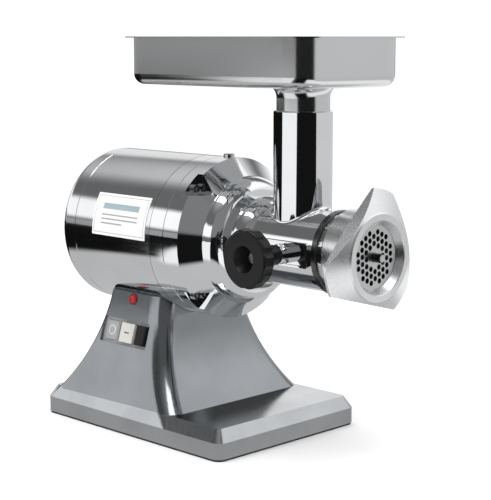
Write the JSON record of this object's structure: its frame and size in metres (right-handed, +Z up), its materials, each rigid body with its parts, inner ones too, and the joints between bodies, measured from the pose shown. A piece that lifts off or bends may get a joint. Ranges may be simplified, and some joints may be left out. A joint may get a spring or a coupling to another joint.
{
  "type": "electric meat grinder",
  "caption": "Electric meat grinder: motor drum on a flared cast pedestal, geared feed screw in a horizontal barrel, perforated plate and ring nut, rectangular feed tray on a vertical neck.",
  "frame": {"origin": "on the bench, under the middle of the rectangular foot plate, level with the underside of the rubber foot strip", "axes": "+X along the feed screw towards the outlet, +Z up, switches and clamp knob on the -Y side"},
  "size_m": [0.443, 0.23, 0.464],
  "materials": {
    "cast_aluminium": "satin",
    "polished_aluminium": "polished",
    "polished_shell": "polished",
    "stainless_sheet": "satin",
    "cast_tin": "satin",
    "ground_steel": "ground",
    "head_steel": "matt",
    "zinc_sheet": "matt",
    "rubber": "matt",
    "steel_fastener": "plated",
    "black_plastic": "textured",
    "grey_plastic": "satin",
    "white_plastic": "gloss",
    "lamp_black": "gloss",
    "lamp_red": "gloss",
    "spring_steel": "bright",
    "label_foil": "printed foil",
    "contactor_case": "matt",
    "capacitor_can": "satin",
    "electrical_steel": "laminated",
    "copper_winding": "enamelled",
    "bearing_steel": "ground",
    "shaft_steel": "turned",
    "bracket_aluminium": "machined",
    "fan_plastic": "matt"
  },
  "bodies": {
    "frame": {"base_casting": "cast_aluminium", "bottom_cover": "zinc_sheet", "foot_strip": "rubber", "bottom_screws": "steel_fastener", "motor_bolts": "steel_fastener", "cable_gland": "black_plastic", "switch_frame": "grey_plastic", "switch_block": "black_plastic", "lamp_bezel": "lamp_black", "lamp_lens": "lamp_red", "contactor": "contactor_case", "run_capacitor": "capacitor_can", "motor_shell": "polished_shell", "rear_cap": "polished_shell", "gear_housing": "bracket_aluminium", "gear_cover": "polished_aluminium", "cover_screws": "steel_fastener", "top_plug": "steel_fastener", "nameplate": "label_foil", "stator_core": "electrical_steel", "stator_windings": "copper_winding", "rear_bearing": "bearing_steel", "front_bearing": "bearing_steel", "idler_bearings": "bearing_steel", "output_bearings": "bearing_steel", "oil_seal": "rubber", "mouth_casting": "polished_aluminium", "mouth_screws": "steel_fastener"},
    "rotor": {"rotor_core": "electrical_steel", "rotor_shaft": "shaft_steel", "rotor_pinion": "shaft_steel", "cooling_fan": "fan_plastic"},
    "idler": {"idler_gear": "shaft_steel", "idler_pinion": "shaft_steel", "idler_shaft": "shaft_steel"},
    "output": {"output_gear": "shaft_steel", "output_shaft": "shaft_steel"},
    "head": {"head_sleeve": "head_steel", "plate_pin": "ground_steel"},
    "screw": {"feed_screw": "ground_steel", "knife_spindle": "ground_steel", "knife": "ground_steel"},
    "plate": {"hole_plate": "ground_steel"},
    "nut": {"ring_nut": "cast_tin"},
    "washer": {"knob_washer": "steel_fastener"},
    "knob": {"clamp_knob": "black_plastic", "clamp_stud": "steel_fastener"},
    "tray": {"tray_pan": "stainless_sheet", "tray_spout": "stainless_sheet"},
    "start": {"start_button": "white_plastic", "start_spring": "spring_steel"},
    "stop": {"stop_button": "grey_plastic", "stop_spring": "spring_steel"}
  },
  "joints": [
    {"name": "rotor_spin", "type": "hinge", "parent": "frame", "child": "rotor", "pos_m": [0, 0, 0.23], "axis": [1, 0, 0], "continuous": true},
    {"name": "idler_spin", "type": "hinge", "parent": "frame", "child": "idler", "pos_m": [0, 0, 0.18875], "axis": [1, 0, 0], "continuous": true},
    {"name": "output_spin", "type": "hinge", "parent": "frame", "child": "output", "pos_m": [0, 0, 0.23], "axis": [1, 0, 0], "continuous": true},
    {"name": "head_slide", "type": "slide", "parent": "frame", "child": "head", "axis": [1, 0, 0], "range_m": [0, 0.11]},
    {"name": "screw_spin", "type": "hinge", "parent": "head", "child": "screw", "pos_m": [0.2, 0, 0.23], "axis": [1, 0, 0], "continuous": true},
    {"name": "plate_slide", "type": "slide", "parent": "head", "child": "plate", "axis": [1, 0, 0], "range_m": [0, 0.0301]},
    {"name": "nut_turn", "type": "hinge", "parent": "plate", "child": "nut", "pos_m": [0.265, 0, 0.23], "axis": [1, 0, 0], "range_deg": [0, 2160]},
    {"name": "washer_slide", "type": "slide", "parent": "frame", "child": "washer", "axis": [0, -1, 0], "range_m": [0, 0.0121]},
    {"name": "knob_turn", "type": "hinge", "parent": "washer", "child": "knob", "pos_m": [0.188, -0.07, 0.23], "axis": [0, -1, 0], "range_deg": [0, 2466]},
    {"name": "tray_lift", "type": "slide", "parent": "frame", "child": "tray", "axis": [0, 0, 1], "range_m": [0, 0.06]},
    {"name": "start_push", "type": "slide", "parent": "frame", "child": "start", "axis": [0, 0.9563, -0.2924], "range_m": [0, 0.003], "stiffness_N_per_m": 400, "springref_m": -0.002},
    {"name": "stop_push", "type": "slide", "parent": "frame", "child": "stop", "axis": [0, 0.9563, -0.2924], "range_m": [0, 0.003], "stiffness_N_per_m": 400, "springref_m": -0.002}
  ],
  "couplings": [
    {"joint": "idler_spin", "follows": "rotor_spin", "ratio": -0.34694},
    {"joint": "output_spin", "follows": "rotor_spin", "ratio": 0.12037},
    {"joint": "screw_spin", "follows": "rotor_spin", "ratio": 0.12037},
    {"joint": "plate_slide", "follows": "nut_turn", "m_per_rad": 0.00079577},
    {"joint": "washer_slide", "follows": "knob_turn", "m_per_rad": 0.00027852}
  ]
}
